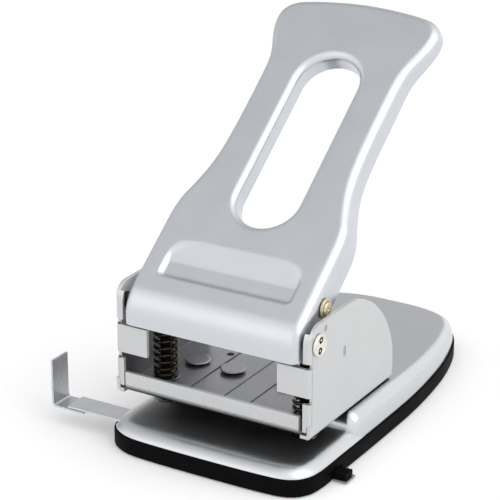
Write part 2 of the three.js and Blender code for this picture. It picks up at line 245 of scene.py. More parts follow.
def lathe(name, profile, c, axis, n=64):
    """A closed (radius, height) profile turned round an axis through c."""
    f = AXES[axis]
    verts, faces = [], []
    m = len(profile)
    for i in range(n):
        a = 2 * math.pi * i / n
        verts += [f(c[0] + r * math.cos(a), c[1] + r * math.sin(a), h) for r, h in profile]
    for i in range(n):
        j = (i + 1) % n
        for k in range(m):
            k2 = (k + 1) % m
            if profile[k][0] < 1e-6 and profile[k2][0] < 1e-6:
                continue
            faces.append((i * m + k, j * m + k, j * m + k2, i * m + k2))
    return build(name, verts, faces)


def loft(name, loops, cap0=None, cap1=None):
    """Skins closed loops of equal length; a cap is None for a flat face or a function (x, y) -> z with inner points."""
    n = len(loops[0])
    verts, faces = [tuple(p) for lp in loops for p in lp], []
    for r in range(len(loops) - 1):
        faces += [(r * n + i, r * n + (i + 1) % n, (r + 1) * n + (i + 1) % n, (r + 1) * n + i) for i in range(n)]
    for lp, k, zf in ((loops[0], 0, cap0), (loops[-1], (len(loops) - 1) * n, cap1)):
        if zf is None:
            faces.append(tuple(range(k, k + n)))
            continue
        flat = np.array([(p[0], p[1]) for p in lp])
        x0, y0 = flat.min(0)
        x1, y1 = flat.max(0)
        g = np.array([(x, y) for x in np.arange(x0 + 4, x1 - 3, 7.0) for y in np.arange(y0 + 4, y1 - 3, 5.0)])
        centre = flat.mean(0)
        shrunk = centre + (flat - centre) * 0.95
        g = g[inside(shrunk, g)]
        v, tri = fill(flat, extra=g)
        base = len(verts)
        verts += [(x, y, zf(x, y)) for x, y in v]
        faces += [tuple(base + t) for t in tri]
    return build(name, verts, faces)


def join(name, parts):
    bpy.context.view_layer.objects.active = parts[0]
    for o in bpy.context.view_layer.objects:
        o.select_set(o in parts)
    bpy.ops.object.join()
    parts[0].name = name
    return parts[0]


# ---------------------------------------------------------------- materials
def material(name, colour, metallic, rough, tint=0.04, tint_scale=40.0, grain=0.03, grain_scale=1500.0, bump=0.03, bump_scale=900.0,
             stretch=(1, 1, 1), rough_spread=0.06, rough_scale=60.0, spec=0.5, coat=0.0, coat_rough=0.1, painted_shade_height=None, bump_distance=0.0002):
    m = bpy.data.materials.new(name)
    m.use_nodes = True
    nt = m.node_tree
    nt.nodes.clear()
    N, L = nt.nodes.new, nt.links.new
    out, bsdf = N("ShaderNodeOutputMaterial"), N("ShaderNodeBsdfPrincipled")
    L(bsdf.outputs[0], out.inputs[0])
    bsdf.inputs["Metallic"].default_value = metallic
    bsdf.inputs["Specular IOR Level"].default_value = spec
    bsdf.inputs["Coat Weight"].default_value = coat
    bsdf.inputs["Coat Roughness"].default_value = coat_rough
    tex, mp = N("ShaderNodeTexCoord"), N("ShaderNodeMapping")
    mp.inputs["Scale"].default_value = stretch
    L(tex.outputs["Object"], mp.inputs["Vector"])

    def noise(scale, detail, rough_=0.55, vec=mp):
        n = N("ShaderNodeTexNoise")
        n.inputs["Scale"].default_value, n.inputs["Detail"].default_value = scale, detail
        n.inputs["Roughness"].default_value = rough_
        L(vec.outputs["Vector"], n.inputs["Vector"])
        return n

    def ramp(src, lo, hi, a, b):
        r = N("ShaderNodeMapRange")
        r.inputs["From Min"].default_value, r.inputs["From Max"].default_value = lo, hi
        r.inputs["To Min"].default_value, r.inputs["To Max"].default_value = a, b
        L(src, r.inputs["Value"])
        return r.outputs["Result"]

    big, fine = noise(tint_scale, 3), noise(grain_scale, 2, 0.6)
    a = ramp(big.outputs["Fac"], 0.3, 0.7, 1 - tint, 1 + tint)
    b = ramp(fine.outputs["Fac"], 0.3, 0.7, 1 - grain, 1 + grain)
    mul = N("ShaderNodeMath"); mul.operation = "MULTIPLY"
    L(a, mul.inputs[0]); L(b, mul.inputs[1])
    value = mul.outputs[0]
    # painted shade: the colour is darkened below one height and brightened towards another
    if painted_shade_height:                                       # brighter from one height to another, in mm
        z = N("ShaderNodeSeparateXYZ")
        L(tex.outputs["Object"], z.inputs[0])
        m2 = N("ShaderNodeMath"); m2.operation = "MULTIPLY"
        L(value, m2.inputs[0])
        L(ramp(z.outputs["Z"], painted_shade_height[0] * MM, painted_shade_height[1] * MM, painted_shade_height[2], painted_shade_height[3]), m2.inputs[1])
        value = m2.outputs[0]
    col = N("ShaderNodeVectorMath"); col.operation = "SCALE"
    col.inputs[0].default_value = colour
    L(value, col.inputs["Scale"])
    L(col.outputs[0], bsdf.inputs["Base Color"])
    rn = noise(rough_scale, 4)
    L(ramp(rn.outputs["Fac"], 0.3, 0.7, max(0.02, rough - rough_spread), min(1, rough + rough_spread)), bsdf.inputs["Roughness"])
    bn = noise(bump_scale, 3)
    bp = N("ShaderNodeBump")
    bp.inputs["Strength"].default_value, bp.inputs["Distance"].default_value = bump, bump_distance
    L(bn.outputs["Fac"], bp.inputs["Height"])
    L(bp.outputs["Normal"], bsdf.inputs["Normal"])
    return m


def lin(r, g, b):
    f = lambda c: (c / 255 / 12.92) if c <= 10 else ((c / 255 + 0.055) / 1.055) ** 2.4
    return (f(r), f(g), f(b))


SILVER = material("silver_paint", lin(201, 204, 209), 0.92, 0.31, tint=0.012, grain=0.07, grain_scale=2600, bump=0.02, bump_scale=1300, rough_spread=0.03)
SHELL = material("silver_paint_base", lin(205, 207, 210), 1.0, 0.24, tint=0.012, grain=0.05, grain_scale=2600, bump=0.015, bump_scale=1100, rough_spread=0.03)
DECK = material("silver_paint_bed", lin(205, 207, 210), 1.0, 0.33, tint=0.012, grain=0.03, grain_scale=2600, bump=0.015, bump_scale=1100, rough_spread=0.02)
LIGHT = material("light_paint", lin(196, 197, 198), 0.6, 0.3, tint=0.012, grain=0.0, grain_scale=2600, bump=0.0, bump_scale=800)
# painted shade: a darker copy of the light paint for the web inside the frame, the tooling-mark bottoms and the rivet
# heads
INNER_PAINTED_SHADE = material("light_paint_inside_painted_shade", lin(168, 169, 173), 0.8, 0.3, tint=0.05, grain=0.05, bump=0.08, bump_scale=700)
# painted shade: the left cheek's inner face, dark low down and brighter towards its top
SHADE = material("light_paint_cheek_inside_painted_shade", lin(110, 111, 114), 0.3, 0.35, tint=0.05, grain=0.05, bump=0.08, bump_scale=700, painted_shade_height=(50, 66, 0.8, 4.8))
# painted light: a whiter matt copy of the light paint on the right cheek's inner face, to brighten the lever skirt
# beside it
MATT_PAINTED_LIGHT = material("light_paint_matt_painted_light", lin(236, 237, 238), 0.0, 0.5, tint=0.012, grain=0.0, bump=0.0)
# painted shade: the front strip's lower bend, darkening towards the bottom where it faces the deck
BEND_PAINTED_SHADE = material("light_paint_bend_painted_shade", lin(196, 197, 198), 0.6, 0.3, tint=0.012, grain=0.0, grain_scale=2600, bump=0.0, painted_shade_height=(24.8, 27.9, 0.04, 1.0))
# painted shade: near black for the frame's underside, the groove bottoms and the lower faces of the guide bushes
UNDER_PAINTED_SHADE = material("frame_underside_painted_shade", lin(9, 9, 10), 0.0, 0.6, tint=0.05, grain=0.05, bump=0.08, bump_scale=700, spec=0.05)
# zinc plating colour, lightened further as a painted highlight on the pivot head's face
PALE_ZINC_HIGHLIGHT = material("pale_zinc_painted_highlight", lin(222, 219, 208), 0.7, 0.3, tint=0.06, tint_scale=220, grain=0.05, bump=0.06, bump_scale=1500)
ZINC = material("yellow_zinc", lin(205, 193, 164), 0.8, 0.26, tint=0.10, tint_scale=220, grain=0.06, bump=0.08, bump_scale=1500)
# painted shade: dark steel for the punch pins inside the springs, the pivot shaft between the cheeks, the pivot head's
# drilled marks and the rivets' undersides
DARK_STEEL_PAINTED_SHADE = material("dark_steel_painted_shade", lin(44, 42, 40), 0.85, 0.32, tint=0.08, tint_scale=220, grain=0.06, bump=0.08, bump_scale=1500)
STEEL = material("bright_steel", lin(140, 142, 146), 0.95, 0.24, tint=0.03, grain=0.04, grain_scale=900, bump=0.06, stretch=(1, 1, 6))
SPRING = material("spring_steel", lin(63, 55, 45), 0.9, 0.18, tint=0.12, tint_scale=300, grain=0.08, bump=0.1, bump_scale=1200)
GUIDE = material("guide_steel", lin(206, 208, 212), 0.88, 0.3, tint=0.03, grain=0.10, grain_scale=700, bump=0.12, bump_scale=700, stretch=(6, 0.25, 1))
# painted shade: a slightly darker copy of the guide steel for the upright stop
STOP_PAINTED_SHADE = material("guide_steel_upright_painted_shade", lin(198, 200, 204), 0.88, 0.3, tint=0.04, grain=0.12, grain_scale=700, bump=0.14, bump_scale=700, stretch=(1, 5, 0.2))
BLACK = material("black_plastic", lin(7, 7, 8), 0.0, 0.6, tint=0.03, grain=0.06, grain_scale=1400, bump=0.15, bump_scale=1800, spec=0.04)


def piece(o, body, nodes, mat, zones=()):
    """zones are (material, test) pairs; a face whose centre and normal, in mm, pass the test takes that material."""
    o.data.materials.clear()
    o.data.materials.append(mat)
    for k, (other, test) in enumerate(zones):
        o.data.materials.append(other)
        for f in o.data.polygons:
            if test(f.center / MM, f.normal):
                f.material_index = k + 1
    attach(o, body)
    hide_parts(*([nodes] if isinstance(nodes, str) else nodes))
    return o


# ---------------------------------------------------------------- camera, floor, light
TARGET = Vector((-0.002026, 0.040, 0.0949))
AZ, EL, DIST = math.radians(30.987), math.radians(21.213), 0.974385
back = Vector((math.sin(AZ) * math.cos(EL), -math.cos(AZ) * math.cos(EL), math.sin(EL)))
cam = bpy.data.objects.new("camera", bpy.data.cameras.new("camera"))
scene.collection.objects.link(cam)
scene.camera = cam
cam.data.sensor_width, cam.data.lens = 36, 144
cam.location = TARGET + back * DIST
cam.rotation_mode = "QUATERNION"
cam.rotation_quaternion = (-back).to_track_quat("-Z", "Y")
cam.data.clip_start, cam.data.clip_end = 0.05, 30

me = bpy.data.meshes.new("floor")
me.from_pydata([(-4, -4, 0), (4, -4, 0), (4, 4, 0), (-4, 4, 0)], [], [(0, 1, 2, 3)])
floor = bpy.data.objects.new("floor", me)
floor.location.z = -0.0002
scene.collection.objects.link(floor)
floor_mat = bpy.data.materials.new("floor")
floor_mat.use_nodes = True
fb = floor_mat.node_tree.nodes["Principled BSDF"]
fb.inputs["Base Color"].default_value = (0.75, 0.75, 0.75, 1)
fb.inputs["Emission Color"].default_value = (1, 1, 1, 1)
fb.inputs["Emission Strength"].default_value = 0.16
fb.inputs["Roughness"].default_value = 0.9
me.materials.append(floor_mat)

world = bpy.data.worlds.new("studio")
scene.world = world
world.use_nodes = True
wt = world.node_tree
wt.nodes.clear()
wo, wb = wt.nodes.new("ShaderNodeOutputWorld"), wt.nodes.new("ShaderNodeBackground")
tc = wt.nodes.new("ShaderNodeTexCoord")


def direction_mask(d, inner, outer):
    """1 within inner degrees of direction d, falling smoothly to 0 at outer degrees."""
    dot = wt.nodes.new("ShaderNodeVectorMath"); dot.operation = "DOT_PRODUCT"
    wt.links.new(tc.outputs["Generated"], dot.inputs[0])
    dot.inputs[1].default_value = Vector(d).normalized()
    r = wt.nodes.new("ShaderNodeMapRange"); r.interpolation_type = "SMOOTHSTEP"
    r.inputs["From Min"].default_value = math.cos(math.radians(outer))
    r.inputs["From Max"].default_value = math.cos(math.radians(inner))
    wt.links.new(dot.outputs["Value"], r.inputs["Value"])
    return r.outputs["Result"]


def darker(value, mask, amount):
    m = wt.nodes.new("ShaderNodeMath"); m.operation = "MULTIPLY"
    m.inputs[1].default_value = amount
    wt.links.new(mask, m.inputs[0])
    q = wt.nodes.new("ShaderNodeMath"); q.operation = "SUBTRACT"
    if hasattr(value, "node"):
        wt.links.new(value, q.inputs[0])
    else:
        q.inputs[0].default_value = value
    wt.links.new(m.outputs[0], q.inputs[1])
    return q.outputs[0]


# a light tent: bright all round, brightest up on the right, darker overhead, at the back and on the left
level = darker(1.16, direction_mask((-0.48, 0.15, 0.86), 14, 33), 0.50)
level = darker(level, direction_mask((-0.45, 0.76, 0.46), 10, 34), 0.53)
level = darker(level, direction_mask((-0.93, 0.30, 0.22), 10, 30), 0.5)
level = darker(level, direction_mask((0.52, -0.05, 0.83), 14, 36), -0.8)
wt.links.new(level, wb.inputs["Strength"])
wb.inputs["Color"].default_value = (1, 1, 1, 1)
wt.links.new(wb.outputs[0], wo.inputs[0])


def area(name, loc, target, size, power):
    d = bpy.data.lights.new(name, "AREA")
    d.shape, d.size, d.size_y, d.energy = "RECTANGLE", size[0], size[1], power
    o = bpy.data.objects.new(name, d)
    scene.collection.objects.link(o)
    o.location = loc
    o.rotation_mode = "QUATERNION"
    o.rotation_quaternion = (Vector(target) - Vector(loc)).to_track_quat("-Z", "Y")
    return o


area("key", (-0.5, -1.2, 0.75), (0, 0.05, 0.08), (1.3, 0.8), 1.0)
area("side", (1.25, 0.1, 1.0), (0, 0.05, 0.08), (1.5, 0.7), 2.2)

# ---------------------------------------------------------------- lever
R, RS, T = 5.0, 4.0, 1.8
ROLL_R = 18.0
roll = (15.0, FACE_Z0 + SLOPE * 15.0 - ROLL_R / CT)
S0 = roll[0] * CT + (roll[1] - FACE_Z0) * ST       # where the face meets the rolled front


def face_pt(x, s, d=0.0):
    return (x, s * CT + d * ST, FACE_Z0 + s * ST - d * CT)


def yz_to_face(y, z):
    return y * CT + (z - FACE_Z0) * ST, y * ST - (z - FACE_Z0) * CT


LOW = [(2.0, 61.5), (3.0, 60.2), (5.2, 59.4), (8.0, 59.4), (10.5, 60.4), (18, 65)]
LOW_FACE = [(24, 17), (38, 16.9), (52, 16.5), (66, 14.5), (84, 12.5), (140, 12), (168, 9.5), (197, 8)]
low_curve = catmull(LOW_FACE, False, 8)
depth_at = lambda s: float(np.interp(s, low_curve[:, 0], low_curve[:, 1]))
S_PLATE = 44.0
s_grid = sorted(set([S0, 6, 7.4, 9, 10.6, 11.6, 12.3, 12.6, 12.9, 13.2, 13.5, 13.8, 14.1, 14.4, 14.7, 15.1, 15.8, 16.6, 18, 20, 21.6, 22.2, 22.6, 23.1, 24, 25.5, 27, 29, 31, 33, 34.4,
                     35.2, 35.8, 36.6, 38, 41, S_PLATE]))
x_in = 49 - R
x_fine = np.arange(33.0, 38.5, 0.4)
x_grid = sorted(set([round(float(v), 3) for v in np.concatenate([np.linspace(-x_in, x_in, 23), np.linspace(-32, 32, 33), x_fine, -x_fine])]))


def recess(x, s):
    """Depth of the pressed recess: short front wall and ends, long slope at the back, all corners rounded."""
    ax = abs(x)
    w = 3.4
    if s < 16.6 and ax > 34.0:                     # rounded front corners
        d = 4.2 - math.hypot(ax - 34.0, 16.6 - s)
    elif s > 24.0 and ax > 26.2:                   # large rear corners
        d = 12 - math.hypot(ax - 26.2, s - 24.0)
        w = 3.4 + 5.0 * math.sin(math.atan2(s - 24.0, ax - 26.2)) ** 2
    else:
        d = min(38.2 - ax, s - 12.4)
    t = max(0.0, min(1.0, d / w))
    t = t * t * (3 - 2 * t)
    rear = max(0.0, min(1.0, (36.0 - s) / 13.4))
    k = 0.12
    h = max(k - abs(t - rear), 0) / k
    return 2.0 * max(0.0, min(t, rear) - h * h * k / 4)


verts, faces = [], []


def patch(grid):
    """A grid of points, rows by columns, as quads."""
    k = len(verts)
    rows, cols = len(grid), len(grid[0])
    for row in grid:
        verts.extend(row)
    for i in range(rows - 1):
        for j in range(cols - 1):
            faces.append((k + i * cols + j, k + i * cols + j + 1, k + (i + 1) * cols + j + 1, k + (i + 1) * cols + j))


fil = [math.radians(90 * i / 9) for i in range(10)]   # fillet steps, 0 at the skirt and 90 at the face
# rolled front and apron, right across
stations = [((-3.0, z), (-1.0, 0.0)) for z in (61.5, 62.5, 64.0, 65.0)]
a_end = 90 + math.degrees(TH)
for i in range(17):
    a = math.radians(180 + (a_end - 180) * i / 16)
    stations.append(((roll[0] + ROLL_R * math.cos(a), roll[1] + ROLL_R * math.sin(a)), (math.cos(a), math.sin(a))))


def station_point(st_, x, d):
    (y, z), (ny, nz) = st_
    return (x, y - ny * d, z - nz * d)


patch([[station_point(q, x, 0) for x in x_grid] for q in stations])
for sgn in (-1, 1):
    patch([[station_point(q, sgn * (49 - R * (1 - math.cos(f))), R * (1 - math.sin(f))) for f in fil] for q in stations])
    patch([[face_pt(sgn * (49 - R * (1 - math.cos(f))), s, R * (1 - math.sin(f))) for f in fil] for s in s_grid])
# face with the pressed recess
patch([[face_pt(x, s, recess(x, s)) for x in x_grid] for s in s_grid])
# plan of the waisted and flared part, right side then left
right = catmull([(w, s) for s, w in HALF_WIDTH[2:]], False, 10)
right = resample(right, 110, False)
right = right[np.concatenate([[0], np.where(right[1:, 1] > S_PLATE + 0.5)[0] + 1])]
right[0] = (49, S_PLATE)
path = np.vstack([right, right[-2::-1] * [-1, 1]])
tan = np.gradient(path, axis=0)
tan /= np.linalg.norm(tan, axis=1)[:, None]
nrm = np.column_stack([-tan[:, 1], tan[:, 0]])
nrm[0], nrm[-1] = (-1, 0), (1, 0)
nrm[len(right) - 1] = (0, -1)
grid = []
for p, n in zip(path, nrm):
    row = []
    for f in fil[::-1]:
        q = p + n * R * (1 - math.cos(f))
        row.append(face_pt(q[0], q[1], R * (1 - math.sin(f))))
    D = depth_at(p[1])
    for k in range(1, 7):
        row.append(face_pt(p[0], p[1], R + (D - R) * k / 6))
    grid.append(row)
patch(grid)
inner = path + nrm * R
# finger slot rim
slot_c0, slot_c1, HW = 51.3 + 16.8, 156.3 - 16.8, 16.8
ang = [math.radians(a) for a in np.linspace(0, 180, 37)]
slot = [(HW * math.cos(a), slot_c1 + HW * math.sin(a)) for a in ang] + [(-HW, s) for s in np.linspace(slot_c1, slot_c0, 14)[1:-1]] + \
       [(-HW * math.cos(a), slot_c0 - HW * math.sin(a)) for a in ang] + [(HW, s) for s in np.linspace(slot_c0, slot_c1, 14)[1:-1]]
slot = np.array(slot)
sn = inward(slot)
rows = []
for f in fil[::-1]:
    q = slot - sn * RS * (1 - math.cos(f))
    rows.append([face_pt(x, s, RS * (1 - math.sin(f))) for x, s in q])
for d in (6.0, 8.0, 10.0):
    rows.append([face_pt(x, s, d) for x, s in slot])
patch([r + r[:1] for r in rows])
slot_outer = slot - sn * RS
outer = [tuple(q) for q in inner] + [(x, S_PLATE) for x in x_grid[1:-1]]
v, tri = fill(outer, [slot_outer])
k = len(verts)
verts += [face_pt(x, s) for x, s in v]
faces += [tuple(k + t) for t in tri]
# side plates with the two cross holes
for sgn in (-1, 1):
    edge = [yz_to_face(*station_point(q, 0, R)[1:]) for q in stations] + [(s, R) for s in s_grid]
    D = depth_at(S_PLATE)
    edge += [(S_PLATE, R + (D - R) * k2 / 6) for k2 in range(1, 7)]
    edge += [(s, depth_at(s)) for s in (38, 32, 27, 24)]
    edge += [yz_to_face(y, z) for y, z in LOW[::-1][:-1]]
    edge = [e for i, e in enumerate(edge) if i == 0 or math.dist(e, edge[i - 1]) > 1e-4]
    holes = []
    for c, r in ((PIVOT, 4.3), (ROD, 3.8)):
        cs, cd = yz_to_face(*c)
        holes.append([(cs + r * math.cos(2 * math.pi * i / 40), cd + r * math.sin(2 * math.pi * i / 40)) for i in range(40)])
    v, tri = fill(edge, holes)
    k = len(verts)
    verts += [face_pt(sgn * 49, s, d) for s, d in v]
    faces += [tuple(k + t) for t in tri]
lever = build("lever_pressing", verts, faces, weld=0.02)
top = max(lever.data.polygons, key=lambda p: p.area)
bm = bmesh.new(); bm.from_mesh(lever.data); bm.faces.ensure_lookup_table()
probe = max(bm.faces, key=lambda f: -abs(f.calc_center_median().z * 1000 - (FACE_Z0 + 60 * ST)) if abs(f.calc_center_median().x) < 0.03 else -1e9)
if probe.normal.dot(Vector((0, -ST, CT))) < 0:
    bmesh.ops.reverse_faces(bm, faces=bm.faces)
bm.to_mesh(lever.data); bm.free()
m = lever.modifiers.new("sheet", "SOLIDIFY")
m.thickness, m.offset, m.use_even_offset, m.use_quality_normals = T * MM, -1, True, True
bake(lever)
shade(lever, 40)
piece(lever, "lever_body", "lever", SILVER)

# ---------------------------------------------------------------- base shell
outline = resample(catmull(RIGHT + LEFT, True, 12), 260, True)
o_n = inward(outline)


def zt(y, top_=22.5):
    t = max(0.0, y - 84.0)
    return top_ - 0.045 * (t * t / (t + 8.0) if t < 400 else t)


def deck_solid(d, drop, name):
    w, h = 6.5 - d, 4.3 - 0.4 * d
    loops = []
    for z in (9.3 - (6 if d else 0),):
        q = outline + o_n * (1 + d)
        loops.append([(x, y, z) for x, y in q])
    rim = [(1 - math.cos(math.radians(f)) ** 1.4, 1 - math.sin(math.radians(f)) ** 1.4) for f in (0, 11, 22, 34, 45, 56)]
    for n, fall in rim + [(0.74, 0.120), (0.92, 0.056), (1.10, 0.022), (1.28, 0.006), (1.46, 0.0)]:       # the rim runs out softly into the flat
        q = outline + o_n * (1 + d + w * n)
        loops.append([(x, y, 13.8 - drop - h * fall) for x, y in q])
    return loft(name, loops)


def platform_solid(d, drop, name):
    edge = outline + o_n * (1 + d)
    y0 = 34 + d
    rear = edge[edge[:, 1] > y0 + 9]
    i0 = int(np.argmin(np.where(rear[:, 0] > 0, rear[:, 1], 1e9)))
    rear = np.roll(rear, -i0, 0)
    xr, xl = edge[:, 0].max(), edge[:, 0].min()
    loop = arc(xl + 7, y0 + 7, 7, 181, 270, 9) + [(x, y0) for x in np.linspace(xl + 7, xr - 7, 24)[1:-1]] + arc(xr - 7, y0 + 7, 7, 270, 359, 9) + [tuple(p) for p in rear]
    loop = np.array(loop)
    n = inward(loop)
    loops = [[(x, y, (9.3 if not d else 3.0)) for x, y in loop]]
    w = 6.5 - 0.6 * d
    for i in range(13):
        f = math.radians(90 * i / 12)
        q = loop + n * w * (1 - math.cos(f))
        row = []
        for (x, y), (bx, by) in zip(q, loop):
            top_ = zt(y) - drop
            h = min(9.5, top_ - 9.8)
            row.append((x, y, top_ - h * (1 - math.sin(f))))
        loops.append(row)
    return loft(name, loops, None, lambda x, y: zt(y) - drop)


shell = deck_solid(0, 0, "base_pressing")
cut(shell, platform_solid(0, 0, "p"), op="UNION")
cut(shell, deck_solid(1.6, 1.6, "d"), platform_solid(1.6, 1.6, "p"))
cut(shell, block(-70, -38, -9.3, 5.3, 0, 12.2), *[rod(6.3, 5, 20, (x, PIN_Y), "Z") for x in (-40, 40)],
    *[rod(3.3, 15, 30, (x, 45), "Z") for x in RIVETS])
clean(shell, 0.3)
shade(shell, 38)
piece(shell, "base", "base_shell", SHELL, [(DECK, lambda c, n: 9.3 < c.z < 13.81 and c.y < 33.5 and n.z > 0.05)])

# ---------------------------------------------------------------- chip tray
loops = []
for i in range(5):
    f = math.radians(90 * i / 4)
    q = outline + o_n * 1.4 * (1 - math.sin(f))
    loops.append([(x, y, 1.4 * (1 - math.cos(f))) for x, y in q])
for i in range(5):
    f = math.radians(90 * i / 4)
    q = outline + o_n * 0.8 * (1 - math.cos(f))
    loops.append([(x, y, 9 - 0.8 * (1 - math.sin(f))) for x, y in q])
loops.append([(x, y, 9.0) for x, y in outline + o_n * 3])
loops.append([(x, y, 1.6) for x, y in outline + o_n * 3])
tray = loft("chip_tray_moulding", loops)
cut(tray, block(48.4, 60.5, 6, 20, 1.0, 6.9), op="UNION")
cut(tray, block(50, 66, 7.8, 18.4, -1, 5.3))
shade(tray, 40)
piece(tray, "tray", "chip_tray", BLACK)

tongue = block(53, 69.3, 9, 16.6, 1.9, 4.9, "tray_latch_tongue")
cut(tongue, *[block(x, x + 0.6, 8, 18, 4.5, 6) for x in (64.4, 65.9, 67.4)])
bevel(tongue, 0.4, 3)
shade(tongue)
piece(tongue, "latch", "tray_latch", BLACK)
plate = block(51, 70.2, 8.7, 17.6, 0.5, 1.6, "latch_plate_steel")
bevel(plate, 0.25, 2)
shade(plate)
piece(plate, "latch", "latch_plate", STEEL)

# ---------------------------------------------------------------- punch frame
H = 55.0
cheek_top = catmull([(84.0, 27), (84.2, 34), (82.8, 43.6), (77.9, 54.2), (72.8, 61.5), (65.8, 68.4), (59, 73.3), (51.5, 76.9), (45, 79.2), (38, 80.0), (30, 80)], False, 6)
silhouette = [(-1, 20), (84.0, 20)] + [tuple(p) for p in cheek_top] + arc(9, 71, 9, 90, 172, 10) + [(0.0, 68), (-1, 68)]
silhouette = [(84.0, 20.0)] + [tuple(p) for p in cheek_top] + arc(9, 71, 9, 90, 180, 12) + [(0.0, 20.0)]


def wall(lip_x):
    """Plan of the right cheek with its bend and front flange ending at lip_x."""
    if lip_x is None:
        return [(55, 84.5), (53, 84.5), (53, 2.4), (55, 2.4)]
    return [(55, 84.5), (53, 84.5), (53, 2.5)] + arc(52.5, 2.5, 0.5, 0, -90, 4)[1:] + [(lip_x, 2), (lip_x, 0)] + arc(52.8, 2.2, 2.2, -90, 0, 8)


bodies = []
for sgn in (-1, 1):
    o = prism("cheek", [(sgn * x, y) for x, y in wall(None)], 26, 80.5, "Z")
    for lip, z0, z1 in ((50.5, 26.5, 41.2), (36.6, 44.4, 59.2), (50.5, 61.8, 80.4)):
        cut(o, prism("flange", [(sgn * x, y) for x, y in wall(lip)], z0, z1, "Z"), op="UNION")
    cut(o, prism("outline", silhouette, -70, 70, "X"), op="INTERSECT")
    bodies.append(o)
frame_o = bodies[0]
u_out = [(-H, 30)] + arc(-H + 2, 25, 2, 180, 270, 6) + arc(H - 2, 25, 2, 270, 360, 6) + [(H, 30)]
u_in = [(H - 2, 30), (H - 2, 25.3), (H - 2.3, 25), (-H + 2.3, 25), (-H + 2, 25.3), (-H + 2, 30)]
floor_u = prism("web", u_out + u_in, 0, 84, "Y")
cut(floor_u, block(-50.7, 49.3, -1, 4.5, 20, 29))
strip = prism("strip", [(11, 23), (11, 25), (6, 25)] + arc(4.5, 27.5, 2.5, 262, 180, 8) + [(2.0, 34.2), (0.0, 34.2)] + arc(4.5, 27.5, 4.5, 180, 262, 10) + [(6, 23)], -50, 48.6, "X")
cut(frame_o, bodies[1], floor_u, strip, op="UNION")
cut(frame_o, block(-31, -23.6, 7.5, 83, 24.5, 25.4), op="UNION")
cuts = [prism("groove", [(x - 0.9, 26.2), (x - 0.45, 24.3), (x + 0.45, 24.3), (x + 0.9, 26.2)], 7, 85, "Y") for x in (-3.5, 11.5)]
cuts += [prism("groove", [(-23.8, 26.2), (-23.6, 24.3), (-22.9, 24.3), (-22.4, 26.2)], 7, 85, "Y")]
for sx in (-1, 1):
    for y, z, h in ((13.5, 76.0, 0.5), (32.7, 57.0, 1.5)):       # shallow tooling marks
        cuts.append(prism("mark", arc(y, z + h, 1.3, 0, 180, 8) + arc(y, z - h, 1.3, 180, 360, 8), sx * 55 - 0.2, sx * 55 + 0.2, "X"))
cuts += [rod(4.3, -60, 60, PIVOT, "X")] + [rod(5, 20, 30, (x, PIN_Y), "Z") for x in (-40, 40)]
cuts += [rod(3.3, 20, 30, (x, 45), "Z") for x in RIVETS] + [rod(2, 20, 30, (x, 61.5), "Z", 24) for x in (-26.5, 26.5)]
clean(frame_o, 0.3)
bevel(frame_o, 0.3, 2, 40)
cut(frame_o, *cuts)
frame_o.name = "frame_pressing"
shade(frame_o, 40)
piece(frame_o, "base", "punch_frame", LIGHT, [
    # painted shade in the bottoms of the tooling marks
    (INNER_PAINTED_SHADE, lambda c, n: abs(abs(c.x) - 54.8) < 0.1 and abs(n.x) > 0.9),
    # painted shade in the grooves
    (UNDER_PAINTED_SHADE, lambda c, n: 24.2 < c.z < 24.96 and 6 < c.y < 83.9 and abs(c.x) < 30),
    # painted shade on the web and inside faces under the lever
    (INNER_PAINTED_SHADE, lambda c, n: 24.1 < c.z < 26 and n.z > -0.5 and c.y > 2.6 and abs(c.x) < 53.2),
    # painted shade on the left cheek's inner face
    (SHADE, lambda c, n: c.z > 25 and n.x > 0.3 and c.x < -52.6 and c.y > 2.2),
    # painted light on the right cheek's inner face
    (MATT_PAINTED_LIGHT, lambda c, n: c.z > 25 and n.x < -0.3 and c.x > 52.6 and c.y > 2.2),
    # painted shade on the strip's lower bend
    (BEND_PAINTED_SHADE, lambda c, n: c.y < 4.6 and c.z < 27.6 and n.z < -0.05 and abs(c.x) < 53 and math.hypot(c.y - 4.5, c.z - 27.5) > 4),
    # painted shade on the frame's underside
    (UNDER_PAINTED_SHADE, lambda c, n: c.z < 23.4 and n.z < -0.7 and c.y > 4.5)])

# ---------------------------------------------------------------- turned pieces
for i, x in enumerate(RIVETS):
    o = lathe(f"rivet_{i + 1}", [(0, 18.9), (3.7, 18.9), (4, 19.2), (4, 20.6), (3, 20.6), (3, 25.3), (5.3, 25.3), (5.9, 25.9), (6.6, 26.5), (6.6, 26.8), (6.3, 27.1),
                                 (5.6, 27.2), (4.8, 27.1), (3.0, 27.15), (0, 27.2)], (x, 45), "Z")
    shade(o, 50)
    # painted shade: rivet heads in the web's darker grey, their undersides in dark steel
    piece(o, "base", f"frame_rivet_{i + 1}", INNER_PAINTED_SHADE, [(DARK_STEEL_PAINTED_SHADE, lambda c, n: c.z < 26.4)])

shaft = lathe("pivot_shaft_turned", [(0, -55.2), (3.6, -55.2), (4, -54.8), (4, 55.3), (5.6, 55.3), (5.6, 56.0), (5.2, 56.5), (4.5, 56.5), (4.3, 56.2), (0, 56.2)],
              PIVOT, "X")
cut(shaft, *[lathe("ring", [(0.75, 55.6), (1.75, 55.6), (1.75, 57.0), (0.75, 57.0)], (PIVOT[0] + dy, PIVOT[1] + dz), "X", 28) for dy, dz in ((0.4, 2.6), (-0.4, -2.6))])
shade(shaft, 35)
